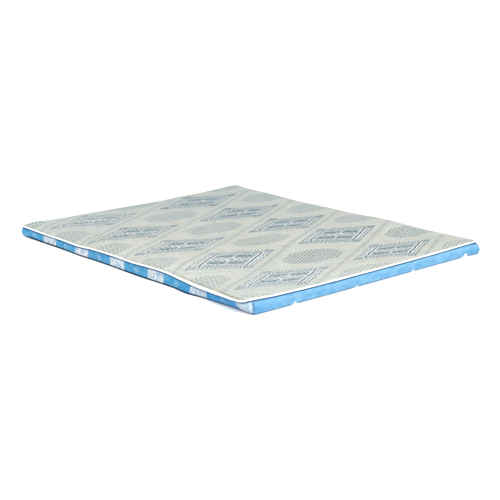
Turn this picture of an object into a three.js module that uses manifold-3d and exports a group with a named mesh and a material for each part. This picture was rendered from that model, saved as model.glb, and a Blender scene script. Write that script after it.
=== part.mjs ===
// A thin double mattress that lies flat: a filled body with a woven ticking on top, four border strips
// round its sides and a tape sewn round the top seam. Millimetres, +Z up. The origin is the middle of
// the underside. X runs along the long sides, -Y is the printed long side, and the nearest corner in
// the usual view is (+X, -Y).
import * as THREE from "three";
import { mergeVertices } from "three/addons/utils/BufferGeometryUtils.js";
import Module from "manifold-3d";

// Driving dimensions
const LENGTH = 1905;
const WIDTH = 1524;
const CORNER_RADIUS = 20;
const CLOTH_THICKNESS = 2;
const SEWN_GAP = 0.36;
const WALL_GAP = 0.5;

// The crown of the top: how far the ticking stands over its seam, and how fast it gets there
const CROWN_HEIGHT = 9;
const CROWN_REACH = 35;
const RIM_DROP = 0.5;

// The rim is drawn in behind the tape, and this far in from it the top is back in place
const RIM_REACH = 12;

// The tape round the top seam: its section, measured outward from the border's face and up from the seam
const TAPE_SECTION = [
  { out: -2.0, up: -5.0 },
  { out: 2.4, up: -5.0 },
  { out: 4.0, up: -3.0 },
  { out: 4.6, up: 0.2 },
  { out: 3.8, up: 3.2 },
  { out: 1.8, up: 4.9 },
  { out: -0.6, up: 5.0 },
  { out: -2.0, up: 4.0 },
];
const TAPE_HALF_HEIGHT = 5;

// Where the tape opens out taller, on the front side
const TAPE_FULLNESS = { x: 617, spread: 175, share: 0.45 };

// The side walls from the floor up: height as a length or as a share of the wall, and set-back of the cloth
const LOWER_ROUNDING = [
  { height: 2.6, inset: 3.4 },
  { height: 5.2, inset: 1.7 },
  { height: 9.0, inset: 0.7 },
];
const WALL_SHARES = [0.4, 0.68];
const BODY_FOOT_INSET = 10;
const BODY_HEEL = { height: 1.0, inset: 6.4 };

// Each corner of the border stands out fuller at mid height, and is drawn in at its foot
const CORNER_SHAPES = [
  { x: -LENGTH / 2, y: -WIDTH / 2, fullness: 7, tuck: 8 },
  { x: LENGTH / 2, y: WIDTH / 2, fullness: 8, tuck: 4 },
  { x: -LENGTH / 2, y: WIDTH / 2, fullness: 6, tuck: 6 },
];
const CORNER_REACH = 45;
const TUCK_HEIGHT = 22;

// The border's soft bulge: its mean and two slow waves along the sides
const BULGE = 1.6;
const BULGE_WAVES = [
  { amplitude: 1.3, length: 395, phase: 0.6 },
  { amplitude: 0.8, length: 231, phase: 2.1 },
];

// Height of the top seam along each side, from the floor
const CORNER_HEIGHTS = { frontLeft: 59, frontRight: 66, backRight: 67, backLeft: 69 };
const FRONT_SEAM = [
  { along: -952.5, height: 59 },
  { along: -830, height: 56 },
  { along: -690, height: 54.5 },
  { along: -560, height: 54.5 },
  { along: -410, height: 51.5 },
  { along: -290, height: 59 },
  { along: -120, height: 62 },
  { along: 60, height: 60 },
  { along: 170, height: 64 },
  { along: 270, height: 66.5 },
  { along: 360, height: 64 },
  { along: 450, height: 56.5 },
  { along: 560, height: 51.5 },
  { along: 660, height: 54.5 },
  { along: 760, height: 58.5 },
  { along: 870, height: 62 },
  { along: 952.5, height: 66 },
];
const BACK_SEAM = [
  { along: -952.5, height: 69 },
  { along: -840, height: 65 },
  { along: -630, height: 64 },
  { along: -370, height: 59 },
  { along: -120, height: 61 },
  { along: 80, height: 61 },
  { along: 250, height: 68 },
  { along: 350, height: 69 },
  { along: 440, height: 66 },
  { along: 600, height: 62 },
  { along: 770, height: 64 },
  { along: 952.5, height: 67 },
];
const LEFT_SEAM = [
  { along: -762, height: 59 },
  { along: -690, height: 68 },
  { along: -560, height: 66 },
  { along: -380, height: 65 },
  { along: -160, height: 63 },
  { along: 150, height: 60 },
  { along: 290, height: 63 },
  { along: 500, height: 65 },
  { along: 640, height: 69 },
  { along: 762, height: 69 },
];
const RIGHT_SEAM = [
  { along: -762, height: 66 },
  { along: -650, height: 70 },
  { along: -420, height: 65 },
  { along: 0, height: 63.5 },
  { along: 400, height: 65 },
  { along: 560, height: 67.5 },
  { along: 650, height: 69.5 },
  { along: 762, height: 67 },
];

// Soft swells and hollows of the top between its seams: place, rise and spread
const SWELLS = [
  { x: 325, y: -90, rise: 5, spreadX: 150, spreadY: 420 },
  { x: -30, y: 60, rise: -2.5, spreadX: 190, spreadY: 330 },
  { x: -430, y: -220, rise: 3, spreadX: 170, spreadY: 260 },
  { x: -640, y: 330, rise: -2.5, spreadX: 200, spreadY: 240 },
  { x: 640, y: 260, rise: -3, spreadX: 170, spreadY: 300 },
];

// The cover is pulled askew at the front right corner: the top seam lies this far from over the base
const SKEW_X = { shift: -30, reach: 160 };
const SKEW_Y = { shift: -42, reach: 480 };

// Where the printed strip ends past the front right corner: along +Y at the top, and at the corner below
const CORNER_JOIN = { baseAlong: 0, topAlong: 55 };

// Grid lines, measured in from each edge, then even steps up to the middle
const EDGE_LINES = [0, 6, 13, CORNER_RADIUS, 44, 82, 132];
const STEP_X = 75;
const STEP_Y = 79;

const HALF_LENGTH = LENGTH / 2;
const HALF_WIDTH = WIDTH / 2;

// Corners closer than this are one
const WELD = 1e-3;

// The slab that parts two strips: how deep it cuts, and its length as a share of the join's
const SLAB_DEPTH = 60;
const SLAB_OVERRUN = 2.2;

const TICKING = new THREE.MeshStandardMaterial({ color: 0xd9dbd4, roughness: 0.85, metalness: 0 });
const PRINTED = new THREE.MeshStandardMaterial({ color: 0x5faadc, roughness: 0.75, metalness: 0 });
const PLAIN_BLUE = new THREE.MeshStandardMaterial({ color: 0x87c3f0, roughness: 0.75, metalness: 0 });
const BASE_CLOTH = new THREE.MeshStandardMaterial({ color: 0xcfd3d2, roughness: 0.9, metalness: 0 });
const TAPE = new THREE.MeshStandardMaterial({ color: 0xf6f8fa, roughness: 0.7, metalness: 0 });

// A smooth curve through a table of heights along a side
function heightAlong(table, along) {
  const last = table.length - 1;
  const clamped = THREE.MathUtils.clamp(along, table[0].along, table[last].along);
  let row = 0;
  while (row < last - 1 && table[row + 1].along < clamped) {
    row += 1;
  }
  const from = table[row];
  const to = table[row + 1];
  const before = table[Math.max(row - 1, 0)];
  const after = table[Math.min(row + 2, last)];
  const span = to.along - from.along;
  const share = (clamped - from.along) / span;
  const slopeFrom = (span * (to.height - before.height)) / (to.along - before.along);
  const slopeTo = (span * (after.height - from.height)) / (after.along - from.along);
  const square = share * share;
  const cube = square * share;
  return (
    (2 * cube - 3 * square + 1) * from.height +
    (cube - 2 * square + share) * slopeFrom +
    (3 * square - 2 * cube) * to.height +
    (cube - square) * slopeTo
  );
}

// The seam heights of the four sides, blended over the whole top
function seamHeight(x, y) {
  const acrossX = THREE.MathUtils.clamp((x + HALF_LENGTH) / LENGTH, 0, 1);
  const acrossY = THREE.MathUtils.clamp((y + HALF_WIDTH) / WIDTH, 0, 1);
  const { frontLeft, frontRight, backRight, backLeft } = CORNER_HEIGHTS;
  const lerp = THREE.MathUtils.lerp;
  const alongSides = lerp(heightAlong(FRONT_SEAM, x), heightAlong(BACK_SEAM, x), acrossY);
  const acrossEnds = lerp(heightAlong(LEFT_SEAM, y), heightAlong(RIGHT_SEAM, y), acrossX);
  const corners = lerp(lerp(frontLeft, frontRight, acrossX), lerp(backLeft, backRight, acrossX), acrossY);
  return alongSides + acrossEnds - corners;
}

// How far a point of the outline or the top lies from the nearest side, round corners included
function distanceFromEdge(x, y) {
  const overX = Math.abs(x) - (HALF_LENGTH - CORNER_RADIUS);
  const overY = Math.abs(y) - (HALF_WIDTH - CORNER_RADIUS);
  if (overX > 0 && overY > 0) {
    return Math.max(0, CORNER_RADIUS - Math.hypot(overX, overY));
  }
  return CORNER_RADIUS - Math.max(overX, overY);
}

// Height of the ticking's upper face
function topHeight(x, y) {
  const fromEdge = distanceFromEdge(x, y);
  const shoulder = 1 - Math.exp(-fromEdge / CROWN_REACH);
  let height = seamHeight(x, y) - RIM_DROP + (CROWN_HEIGHT + RIM_DROP) * shoulder;
  for (const { x: swellX, y: swellY, rise, spreadX, spreadY } of SWELLS) {
    const away = ((x - swellX) / spreadX) ** 2 + ((y - swellY) / spreadY) ** 2;
    height += rise * shoulder * Math.exp(-away / 2);
  }
  return height;
}

// How far the cover lies askew at the top, over a point of the base
function skew(x, y) {
  const away = Math.hypot(x - HALF_LENGTH, y + HALF_WIDTH);
  return {
    x: SKEW_X.shift * (1 - THREE.MathUtils.smoothstep(away, 0, SKEW_X.reach)),
    y: SKEW_Y.shift * (1 - THREE.MathUtils.smoothstep(away, 0, SKEW_Y.reach)),
  };
}

// What the corners add near a point of the outline
function cornerShape(x, y) {
  const shape = { fullness: 0, tuck: 0 };
  for (const corner of CORNER_SHAPES) {
    const near = Math.exp(-((Math.hypot(x - corner.x, y - corner.y) / CORNER_REACH) ** 2));
    shape.fullness += corner.fullness * near;
    shape.tuck += corner.tuck * near;
  }
  return shape;
}

// Half the tape's height at a point of the outline
function tapeHalfHeight(x, y) {
  const fuller = y < 0 ? Math.exp(-(((x - TAPE_FULLNESS.x) / TAPE_FULLNESS.spread) ** 2)) : 0;
  return TAPE_HALF_HEIGHT * (1 + TAPE_FULLNESS.share * fuller);
}

// Grid lines from one side to the other
function gridLines(half, step) {
  const inner = EDGE_LINES[EDGE_LINES.length - 1];
  const steps = Math.round((half - inner) / step);
  const lines = EDGE_LINES.map((line) => line - half);
  for (let index = 1; index <= steps; index += 1) {
    lines.push(inner - half + ((half - inner) * index) / steps);
  }
  const mirrored = lines.slice(0, -1).map((line) => -line);
  return [...lines, ...mirrored.reverse()];
}

const LINES_X = gridLines(HALF_LENGTH, STEP_X);
const LINES_Y = gridLines(HALF_WIDTH, STEP_Y);
const LAST_X = LINES_X.length - 1;
const LAST_Y = LINES_Y.length - 1;

// A grid crossing, with the square corners of the grid drawn in to round ones
function gridPoint(column, row) {
  const x = LINES_X[column];
  const y = LINES_Y[row];
  const overX = (Math.abs(x) - (HALF_LENGTH - CORNER_RADIUS)) / CORNER_RADIUS;
  const overY = (Math.abs(y) - (HALF_WIDTH - CORNER_RADIUS)) / CORNER_RADIUS;
  if (overX <= 0 || overY <= 0) {
    return { x, y };
  }
  const roundX = overX * Math.sqrt(1 - (overY * overY) / 2);
  const roundY = overY * Math.sqrt(1 - (overX * overX) / 2);
  return {
    x: Math.sign(x) * (HALF_LENGTH - CORNER_RADIUS + CORNER_RADIUS * roundX),
    y: Math.sign(y) * (HALF_WIDTH - CORNER_RADIUS + CORNER_RADIUS * roundY),
  };
}

// The outward direction at a point of the outline or near it, and none over the middle of the top
function outward(x, y) {
  const overX = Math.max(0, Math.abs(x) - (HALF_LENGTH - CORNER_RADIUS));
  const overY = Math.max(0, Math.abs(y) - (HALF_WIDTH - CORNER_RADIUS));
  const size = Math.hypot(overX, overY) || 1;
  return { x: (Math.sign(x) * overX) / size, y: (Math.sign(y) * overY) / size };
}

// The stations of the outline, anticlockwise from the front left corner
function outlineStations() {
  const crossings = [];
  for (let column = 0; column < LAST_X; column += 1) {
    crossings.push([column, 0]);
  }
  for (let row = 0; row < LAST_Y; row += 1) {
    crossings.push([LAST_X, row]);
  }
  for (let column = LAST_X; column > 0; column -= 1) {
    crossings.push([column, LAST_Y]);
  }
  for (let row = LAST_Y; row > 0; row -= 1) {
    crossings.push([0, row]);
  }
  const stations = crossings.map(([column, row]) => gridPoint(column, row));
  let travelled = 0;
  stations.forEach((station, index) => {
    const previous = stations[Math.max(index - 1, 0)];
    travelled += Math.hypot(station.x - previous.x, station.y - previous.y);
    station.travelled = travelled;
    station.outward = outward(station.x, station.y);
    station.seam = seamHeight(station.x, station.y);
    station.skew = skew(station.x, station.y);
    station.corner = cornerShape(station.x, station.y);
    station.tapeHalf = tapeHalfHeight(station.x, station.y);
  });
  return stations;
}

const STATIONS = outlineStations();

// How far the filled side bulges at a station, at a share of the wall's height
function bulge(station, share) {
  let size = BULGE + station.corner.fullness;
  for (const { amplitude, length, phase } of BULGE_WAVES) {
    size += amplitude * Math.sin((2 * Math.PI * station.travelled) / length + phase);
  }
  return size * Math.sin(Math.PI * THREE.MathUtils.clamp(share, 0, 1));
}

// Height of the border's upper edge, just under the tape
function borderTop(station) {
  return station.seam - station.tapeHalf - SEWN_GAP;
}

// A point at a station: out from the border's face, at a height, leaning with the skewed cover
function wallPoint(station, out, height) {
  const lean = THREE.MathUtils.clamp(height / borderTop(station), 0, 1);
  return new THREE.Vector3(
    station.x + station.outward.x * out + station.skew.x * lean,
    station.y + station.outward.y * out + station.skew.y * lean,
    height,
  );
}

// How far a corner of the wall is drawn in at a height
function tuckAt(station, height) {
  return station.corner.tuck * Math.max(0, 1 - height / TUCK_HEIGHT) ** 2;
}

// The border's face from its lower edge to the tape, as heights and distances out
function facePoints(station) {
  const top = borderTop(station);
  const lower = LOWER_ROUNDING.map(({ height, inset }) => {
    return { height, out: -inset - tuckAt(station, height) };
  });
  const middle = WALL_SHARES.map((share) => ({ height: share * top, out: bulge(station, share) }));
  return [...lower, ...middle, { height: top, out: 0 }];
}

const WALL_LEVELS = facePoints(STATIONS[0]).map((point, level) => level);

// Collects faces, then shares their corners
class Faces {
  constructor() {
    this.corners = [];
  }

  triangle(a, b, c) {
    this.corners.push(a.x, a.y, a.z, b.x, b.y, b.z, c.x, c.y, c.z);
  }

  quad(a, b, c, d) {
    this.triangle(a, b, c);
    this.triangle(a, c, d);
  }

  // A band between two closed loops, the second above or inside the first, facing out or in
  band(lower, upper, facesIn = false) {
    lower.forEach((point, index) => {
      const next = (index + 1) % lower.length;
      if (facesIn) {
        this.quad(point, upper[index], upper[next], lower[next]);
      } else {
        this.quad(point, lower[next], upper[next], upper[index]);
      }
    });
  }

  geometry() {
    const loose = new THREE.BufferGeometry();
    loose.setAttribute("position", new THREE.Float32BufferAttribute(this.corners, 3));
    const shared = mergeVertices(loose, WELD);
    shared.computeVertexNormals();
    return shared;
  }
}

// A grid of points over the top, at a distance below the ticking's upper face
function topGrid(below) {
  const grid = [];
  for (let column = 0; column <= LAST_X; column += 1) {
    const line = [];
    for (let row = 0; row <= LAST_Y; row += 1) {
      const { x, y } = gridPoint(column, row);
      const inset = (CLOTH_THICKNESS + SEWN_GAP) * Math.exp(-distanceFromEdge(x, y) / RIM_REACH);
      const out = outward(x, y);
      const askew = skew(x, y);
      const height = topHeight(x, y) - below;
      line.push(new THREE.Vector3(x - out.x * inset + askew.x, y - out.y * inset + askew.y, height));
    }
    grid.push(line);
  }
  return grid;
}

function addGrid(faces, grid, upward) {
  for (let column = 0; column < LAST_X; column += 1) {
    for (let row = 0; row < LAST_Y; row += 1) {
      const a = grid[column][row];
      const b = grid[column + 1][row];
      const c = grid[column + 1][row + 1];
      const d = grid[column][row + 1];
      if (upward) {
        faces.quad(a, b, c, d);
      } else {
        faces.quad(a, d, c, b);
      }
    }
  }
}

// The rim of a grid, in the stations' order
function gridRim(grid) {
  const rim = [];
  for (let column = 0; column < LAST_X; column += 1) {
    rim.push(grid[column][0]);
  }
  for (let row = 0; row < LAST_Y; row += 1) {
    rim.push(grid[LAST_X][row]);
  }
  for (let column = LAST_X; column > 0; column -= 1) {
    rim.push(grid[column][LAST_Y]);
  }
  for (let row = LAST_Y; row > 0; row -= 1) {
    rim.push(grid[0][row]);
  }
  return rim;
}

// The ticking: one sheet over the whole top, drawn down to the seam
function topPanelGeometry() {
  const upper = topGrid(0);
  const lower = topGrid(CLOTH_THICKNESS);
  const faces = new Faces();
  addGrid(faces, upper, true);
  addGrid(faces, lower, false);
  faces.band(gridRim(lower), gridRim(upper));
  return faces.geometry();
}

// The filled body: flat underside, rounded foot, bulging sides and the crowned top
function filledBodyGeometry() {
  const top = topGrid(CLOTH_THICKNESS + SEWN_GAP);
  const rim = gridRim(top);
  const foot = STATIONS.map((station) => wallPoint(station, -BODY_FOOT_INSET - tuckAt(station, 0), 0));
  const heel = STATIONS.map((station) => {
    const inset = BODY_HEEL.inset + tuckAt(station, BODY_HEEL.height);
    return wallPoint(station, -inset, BODY_HEEL.height);
  });
  const faces = new Faces();
  const outline = foot.map((point) => new THREE.Vector2(point.x, point.y));
  for (const [a, b, c] of THREE.ShapeUtils.triangulateShape(outline, [])) {
    faces.triangle(foot[c], foot[b], foot[a]);
  }
  const walls = WALL_LEVELS.map((level) => wallLoop(level, CLOTH_THICKNESS + WALL_GAP));
  const loops = [foot, heel, ...walls, rim];
  for (let index = 1; index < loops.length; index += 1) {
    faces.band(loops[index - 1], loops[index]);
  }
  addGrid(faces, top, true);
  return faces.geometry();
}

// The tape: one section carried all the way round the outline
function tapeGeometry() {
  const loops = TAPE_SECTION.map(({ out, up }) =>
    STATIONS.map((station) => {
      const height = station.seam + (up * station.tapeHalf) / TAPE_HALF_HEIGHT;
      return wallPoint(station, out, height);
    }),
  );
  const faces = new Faces();
  loops.forEach((loop, index) => faces.band(loop, loops[(index + 1) % loops.length]));
  return faces.geometry();
}

// One level of the wall all the way round, set back behind the border's face
function wallLoop(level, setBack) {
  return STATIONS.map((station) => {
    const { height, out } = facePoints(station)[level];
    return wallPoint(station, out - setBack, height);
  });
}

// The whole border before it is cut into strips
function borderLoopGeometry() {
  const outer = WALL_LEVELS.map((level) => wallLoop(level, 0));
  const inner = WALL_LEVELS.map((level) => wallLoop(level, CLOTH_THICKNESS));
  const last = WALL_LEVELS.length - 1;
  const faces = new Faces();
  for (let level = 0; level < last; level += 1) {
    faces.band(outer[level], outer[level + 1]);
    faces.band(inner[level], inner[level + 1], true);
  }
  faces.band(outer[last], inner[last]);
  faces.band(inner[0], outer[0]);
  return faces.geometry();
}

// A thin slab that parts the border between a low and a high point, through the cloth
function joinSlab(low, high, through) {
  const up = high.clone().sub(low).normalize();
  const side = new THREE.Vector3().crossVectors(through, up).normalize();
  const depth = new THREE.Vector3().crossVectors(up, side).normalize();
  const slab = new THREE.BoxGeometry(SEWN_GAP, SLAB_DEPTH, low.distanceTo(high) * SLAB_OVERRUN);
  slab.applyMatrix4(new THREE.Matrix4().makeBasis(side, depth, up));
  const middle = low.clone().lerp(high, 0.5);
  slab.translate(middle.x, middle.y, middle.z);
  return slab;
}

function cornerSlabs() {
  const reach = CORNER_RADIUS * (1 - Math.SQRT1_2);
  const slabs = [];
  for (const signX of [-1, 1]) {
    for (const signY of [-1, 1]) {
      const low = new THREE.Vector3(signX * (HALF_LENGTH - reach), signY * (HALF_WIDTH - reach), 0);
      const high = low.clone().setZ(seamHeight(low.x, low.y));
      const through = new THREE.Vector3(signX, signY, 0);
      if (signX > 0 && signY < 0) {
        const askew = skew(low.x, low.y);
        low.y += CORNER_JOIN.baseAlong;
        high.x = HALF_LENGTH + askew.x / 2;
        high.y += CORNER_JOIN.topAlong + askew.y;
      }
      slabs.push(joinSlab(low, high, through));
    }
  }
  return slabs;
}

const wasm = await Module();
wasm.setup();

function toManifold(geometry) {
  const bare = geometry.clone();
  bare.deleteAttribute("normal");
  bare.deleteAttribute("uv");
  const shared = mergeVertices(bare, WELD);
  return new wasm.Manifold(
    new wasm.Mesh({
      numProp: 3,
      vertProperties: new Float32Array(shared.getAttribute("position").array),
      triVerts: new Uint32Array(shared.getIndex().array),
    }),
  );
}

function fromManifold(solid) {
  const { vertProperties, triVerts, numProp } = solid.getMesh();
  const positions = [];
  for (let start = 0; start < vertProperties.length; start += numProp) {
    positions.push(vertProperties[start], vertProperties[start + 1], vertProperties[start + 2]);
  }
  const geometry = new THREE.BufferGeometry();
  geometry.setAttribute("position", new THREE.Float32BufferAttribute(positions, 3));
  geometry.setIndex(Array.from(triVerts));
  geometry.computeVertexNormals();
  return geometry;
}

// The four strips, named by the side that each covers
function borderStrips() {
  let border = toManifold(borderLoopGeometry());
  for (const slab of cornerSlabs()) {
    border = border.subtract(toManifold(slab));
  }
  const strips = {};
  for (const strip of border.decompose()) {
    const geometry = fromManifold(strip);
    geometry.computeBoundingBox();
    const centre = geometry.boundingBox.getCenter(new THREE.Vector3());
    const alongX = Math.abs(centre.y) / HALF_WIDTH > Math.abs(centre.x) / HALF_LENGTH;
    const longSide = centre.y < 0 ? "border_front" : "border_back";
    const shortSide = centre.x < 0 ? "border_left" : "border_right";
    strips[alongX ? longSide : shortSide] = geometry;
  }
  return strips;
}

const mattress = new THREE.Group();

function addPiece(name, geometry, material) {
  const piece = new THREE.Mesh(geometry, material);
  piece.name = name;
  mattress.add(piece);
}

const strips = borderStrips();
addPiece("filled_body", filledBodyGeometry(), BASE_CLOTH);
addPiece("top_panel", topPanelGeometry(), TICKING);
addPiece("border_front", strips.border_front, PRINTED);
addPiece("border_right", strips.border_right, PLAIN_BLUE);
addPiece("border_back", strips.border_back, PRINTED.clone());
addPiece("border_left", strips.border_left, PLAIN_BLUE.clone());
addPiece("tape_edge", tapeGeometry(), TAPE);

export default mattress;
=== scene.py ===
import math
from functools import partialmethod

import bpy
import numpy as np
from mathutils import Matrix, Vector


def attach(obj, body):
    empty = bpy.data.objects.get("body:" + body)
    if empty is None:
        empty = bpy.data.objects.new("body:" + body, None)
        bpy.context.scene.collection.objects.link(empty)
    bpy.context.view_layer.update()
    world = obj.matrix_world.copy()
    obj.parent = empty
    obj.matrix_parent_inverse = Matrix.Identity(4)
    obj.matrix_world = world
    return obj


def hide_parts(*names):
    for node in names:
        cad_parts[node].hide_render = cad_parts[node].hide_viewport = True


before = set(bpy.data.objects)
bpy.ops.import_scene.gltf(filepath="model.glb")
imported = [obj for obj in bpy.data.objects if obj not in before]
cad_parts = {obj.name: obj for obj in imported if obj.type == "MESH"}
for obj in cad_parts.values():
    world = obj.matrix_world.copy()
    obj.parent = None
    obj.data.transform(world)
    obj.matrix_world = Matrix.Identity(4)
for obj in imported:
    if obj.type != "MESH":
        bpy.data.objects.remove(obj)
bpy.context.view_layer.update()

MM = 0.001

# The mattress, as in the frame: X along the long sides, -Y the printed long side
LENGTH = 1.905
WIDTH = 1.524
HALF_X = LENGTH / 2
HALF_Y = WIDTH / 2
RADIUS = 20 * MM
INNER_X = HALF_X - RADIUS
INNER_Y = HALF_Y - RADIUS
CLOTH = 2 * MM
SEWN_GAP = 0.36 * MM
CROWN_HEIGHT = 9.6 * MM
CROWN_REACH = 35 * MM
RIM_DROP = 0.5 * MM
RIM_REACH = 12 * MM
TAPE_HALF_HEIGHT = 5 * MM

# Height of the top seam along each side, in millimetres: (place along the side, height)
FRONT_SEAM = [
    (-952.5, 59), (-830, 56), (-690, 54.5), (-560, 54.5), (-410, 51.5), (-290, 59), (-120, 62),
    (60, 60), (170, 64), (270, 66.5), (360, 64), (450, 56.5), (560, 51.5), (660, 54.5), (760, 58.5),
    (870, 62), (952.5, 66),
]
BACK_SEAM = [
    (-952.5, 70.5), (-840, 65.5), (-630, 64), (-370, 59), (-120, 61), (80, 61), (250, 68), (350, 69),
    (440, 66), (600, 62), (770, 64), (952.5, 67),
]
LEFT_SEAM = [
    (-762, 59), (-738, 65), (-690, 69), (-560, 66), (-380, 65), (-160, 63), (150, 60), (290, 63),
    (500, 65), (640, 70), (716, 73.5), (762, 70.5),
]
RIGHT_SEAM = [
    (-762, 66), (-650, 70), (-420, 65), (0, 63.5), (400, 65), (560, 67.5), (650, 69.5), (762, 67),
]

# Soft swells and hollows of the top, in millimetres: x, y, rise, spread along x, spread along y
SWELLS = [
    (325, -90, 5, 150, 420),
    (-30, 60, -2.5, 190, 330),
    (-430, -220, 3, 170, 260),
    (-640, 330, -2.5, 200, 240),
    (640, 260, -3, 170, 300),
    (-925, 690, 6, 34, 60),
    (-925, -705, 12, 34, 44),
    (925, 740, -14, 50, 40),
]

# The cover is askew at the front right corner: how far, and how far from the corner it reaches
SKEW_X = (-30 * MM, 160 * MM)
SKEW_Y = (-42 * MM, 480 * MM)

# Two corners' tops are pulled along and across: corner, shift along x, shift along y
CORNER_PULLS = [
    (-HALF_X, -HALF_Y, -13 * MM, 0.0),
    (HALF_X, HALF_Y, -8 * MM, -9 * MM),
]
PULL_REACH = 90 * MM

# The border's foot, from the floor up, in millimetres: height, distance behind the border's face.
# On the front side it is squarer by a share, which runs out between two places along the side.
FOOT = [(0.6, 8.6), (1.6, 6.0), (3.0, 3.6), (5.2, 1.9), (9.0, 0.7), (15.0, 0.0)]
SQUARE_FOOT = 0.65
SQUARE_FOOT_END = (0.55, 0.75)

# Where the front side's foot bows out or draws in, in millimetres: place, spread, how far out
FOOT_SWELLS = [(-390, 90, 5), (110, 150, 7), (495, 75, 14), (850, 110, -9)]
FOOT_SWELL_HEIGHT = 30 * MM

# The border bulges at mid height, in slow waves (how far, wave length, phase), and folds in under
# the tape. Its join at the front right corner slants this far along from foot to top.
BULGE = 1.6 * MM
BULGE_WAVES = [(1.3 * MM, 0.395, 0.6), (0.8 * MM, 0.231, 2.1)]
GROOVE_DEPTH = 5.0 * MM
GROOVE_HEIGHT = 4.5 * MM
CORNER_JOIN_ALONG = 52 * MM
JOIN_TUCK = 2.2 * MM
JOIN_TUCK_REACH = 3 * MM

# The border's puckers near its top and foot, and its wider ripples: how far out, how far they lean
# along as they rise, and the height under which the cloth lies still
WALL_PUCKER = 0.8 * MM
WALL_PUCKER_LEAN = 0.35
PUCKERS_BELOW_TOP = 12 * MM
PUCKERS_ABOVE_FOOT = 10 * MM
FOOT_PUCKER_SHARE = 0.6
WALL_RIPPLE = 0.9 * MM
WALL_RIPPLE_LEAN = -0.5
WALL_RIPPLE_STEP = 41 * MM
STILL_FOOT = 6 * MM

# The corners of the border: x, y, how much fuller at mid height, how much drawn in at the foot
CORNER_SHAPES = [
    (-HALF_X, -HALF_Y, 14 * MM, 12 * MM),
    (HALF_X, HALF_Y, 21 * MM, -3 * MM),
    (-HALF_X, HALF_Y, 6 * MM, 6 * MM),
]
CORNER_REACH = 45 * MM
CORNER_ROUNDNESS = 0.6
TUCK_HEIGHT = 22 * MM

# The body's foot, in millimetres: height, distance behind the outline, and the share it follows of
# what the corners draw in. Then the heights of its side, in shares, and its rings over the top.
BODY_FOOT = [(0.0, 24.0), (0.0, 14.0), (0.5, 11.6), (1.6, 9.6), (3.0, 7.6)]
BODY_TUCK = 0.9
BODY_SIDE = [0.1, 0.16, 0.26, 0.4, 0.55, 0.7, 0.82, 0.9, 0.955, 1.0]
BODY_RINGS = [3.0, 8, 14, 26, 45, 75, 120, 190, 290, 400, 520, 640]
FILLING_EASE = 1.0 * MM

# The tape's section, in millimetres: distance out, distance up. Its height is a share of this, more
# where it opens out (place, spread, share) and less at a corner (reach, share), and a little uneven.
TAPE_SECTION = [
    (-2.0, -4.9), (0.2, -5.0), (2.0, -4.9), (3.3, -4.1), (4.1, -2.7), (4.5, -1.0), (4.6, 0.8),
    (4.2, 2.5), (3.3, 3.9), (1.9, 4.8), (0.3, 5.1), (-1.0, 4.8), (-1.8, 4.1), (-2.0, 3.0),
]
TAPE_OUTERMOST = 4.6 * MM
TAPE_SLIMNESS = 0.78
TAPE_FULLNESS = (640 * MM, 200 * MM, 0.75)
TAPE_CORNER = (300 * MM, -0.03)
TAPE_UNEVEN = 0.35 * MM
TAPE_UNEVEN_SHARE = 0.05
TAPE_UNEVEN_START = 0.9
TAPE_PUCKER_STEP = 29.9 * MM
TAPE_RIPPLE_STEP = 27 * MM

# Lock stitches on the tape: above the seam, out from the outline, thickness, pitch, the share of it
# that a stitch is long, its ends' share of its thickness, sides and steps
STITCH_UP = -2.6 * MM
STITCH_OUT = 4.0 * MM
STITCH_THICK = 0.45 * MM
STITCH_PITCH = 7 * MM
STITCH_SHARE = 0.72
STITCH_END_SHARE = 0.35
STITCH_SIDES, STITCH_STEPS = 6, 5

# Creases in the ticking, in metres: from x, y to x, y, rise (a ridge is above 0), half width.
# Each arches sideways by a share of its length.
CREASES = [
    (0.520, -0.744, 0.930, -0.744, -0.0065, 0.013),
    (0.930, -0.735, 0.860, -0.640, 0.0025, 0.012),
    (0.300, -0.730, 0.345, -0.300, 0.0022, 0.030),
    (0.355, 0.100, 0.300, 0.720, 0.0020, 0.034),
    (0.500, -0.700, 0.430, -0.520, -0.0018, 0.016),
    (-0.330, -0.735, -0.270, -0.560, 0.0018, 0.014),
    (-0.880, -0.700, -0.700, -0.380, 0.0020, 0.022),
    (-0.900, 0.650, -0.660, 0.560, -0.0016, 0.020),
    (0.060, -0.735, 0.020, -0.610, -0.0015, 0.012),
    (0.900, 0.180, 0.760, 0.240, 0.0015, 0.016),
    (0.905, -0.330, 0.800, -0.290, -0.0015, 0.014),
    (-0.090, 0.735, -0.160, 0.600, 0.0016, 0.015),
]
CREASE_ARCH = 0.06
CREASE_FROM_EDGE = 8 * MM
CREASE_START, CREASE_END = (-0.2, 0.25), (0.75, 1.2)

# Puckers beside the seam, and the unevenness of the top in two fields: step, share
PUCKER_STEP = 13 * MM
PUCKER_RISE = 1.0 * MM
PUCKER_REACH = 20 * MM
PUCKER_FROM_SEAM = 5 * MM
UNEVEN_RISE = 1.5 * MM
UNEVEN_FROM_EDGE = (4 * MM, 60 * MM)
UNEVEN = [(0.085, 0.7), (0.037, 0.3)]

# The ticking's lattice: its first diamond, the distance to the next along each side, and the width
# of its woven steps
DIAMOND_X = 0.7745
DIAMOND_Y = -0.4175
PITCH_X = 0.3825
PITCH_Y = 0.729
THREAD_STEP = 2.4 * MM

# Where the ticking's diamonds are pulled towards the front tape: place along it, and how far
TICKING_PULLS = [(-0.775, 0.024), (-0.370, 0.040), (-0.017, 0.021), (0.364, 0.005)]

# The border print: a white block, the distance to the next, and half its width. On the front strip
# it is eased in the middle (how far, place, spread) and drawn up near the right end.
BLOCK_X = -0.685
BLOCK_PITCH = 0.3158
BLOCK_HALF_WIDTH = 0.058
PRINT_EASED = (0.012, -0.07, 0.5)
PRINT_DRAWN_UP = 0.050
PRINT_DRAWN_FROM = (0.62, 0.88)

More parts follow.
